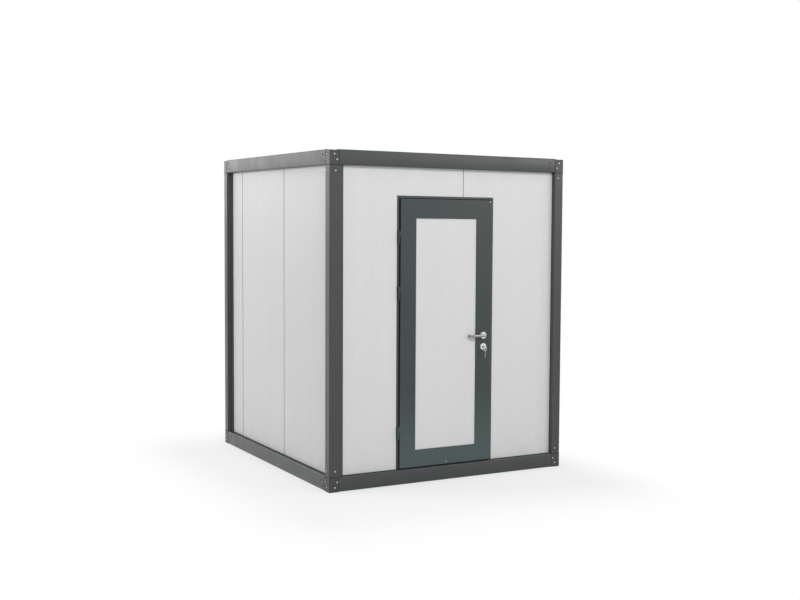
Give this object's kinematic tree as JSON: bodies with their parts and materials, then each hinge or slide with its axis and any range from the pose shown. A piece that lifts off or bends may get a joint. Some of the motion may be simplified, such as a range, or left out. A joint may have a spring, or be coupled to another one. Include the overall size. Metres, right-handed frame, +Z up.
{
  "type": "portable sanitary cabin",
  "caption": "Small flat-pack sanitary cabin: bolted steel frame, ribbed sandwich-panel walls, flat roof and one steel door with lever handle and lock",
  "frame": {"origin": "middle of the footprint at the level that the cabin stands on", "axes": "+Z up, +X to the right seen from outside the door, +Y from the door to the back"},
  "size_m": [2.1, 2.4313, 2.591],
  "materials": {
    "frame_paint": "anthracite powder coat, semi-matt",
    "door_paint": "dark grey powder coat, semi-matt, slightly blue-green",
    "panel_white": "grey-white coil-coated sheet with fine upright ribs",
    "satin_steel": "satin stainless steel",
    "zinc": "galvanised steel with a soft spangle",
    "deck": "speckled grey vinyl on a board deck"
  },
  "bodies": {
    "cabin": {"bottom_rail_front": "frame_paint", "bottom_rail_right": "frame_paint", "bottom_rail_back": "frame_paint", "bottom_rail_left": "frame_paint", "top_rail_front": "frame_paint", "top_rail_right": "frame_paint", "top_rail_back": "frame_paint", "top_rail_left": "frame_paint", "post_front_left": "frame_paint", "post_front_right": "frame_paint", "post_back_right": "frame_paint", "post_back_left": "frame_paint", "corner_blocks_bottom": "frame_paint", "corner_blocks_top": "frame_paint", "floor_joists": "zinc", "underfloor_sheet": "zinc", "floor_deck": "deck", "roof_joists": "zinc", "roof_sheet": "zinc", "ceiling_panel": "panel_white", "left_wall_panels": "panel_white", "right_wall_panels": "panel_white", "back_wall_panels": "panel_white", "front_panel_left": "panel_white", "front_panel_right": "panel_white", "over_door_panels": "panel_white", "door_jamb_hinge_side": "door_paint", "door_jamb_lock_side": "door_paint", "door_frame_head": "door_paint", "door_threshold": "door_paint", "hinge_pins": "door_paint"},
    "door_leaf": {"hinge_sleeves": "door_paint", "door_hinge_stile": "door_paint", "door_lock_stile": "door_paint", "door_top_rail": "door_paint", "door_bottom_rail": "door_paint", "door_insert": "panel_white", "door_roses": "satin_steel", "lock_cylinder": "zinc", "door_keys": "satin_steel"},
    "lever": {"outside_lever": "satin_steel", "inside_lever": "satin_steel"}
  },
  "joints": [
    {"name": "door_hinge", "type": "hinge", "parent": "cabin", "child": "door_leaf", "pos_m": [-0.458, -1.173, 1.18], "axis": [0, 0, -1], "range_deg": [0, 170]},
    {"name": "lever_turn", "type": "hinge", "parent": "door_leaf", "child": "lever", "pos_m": [0.3, -1.178, 1.144], "axis": [0, -1, 0], "range_deg": [0, 40], "stiffness_Nm_per_rad": 2, "springref_deg": -11.46}
  ]
}
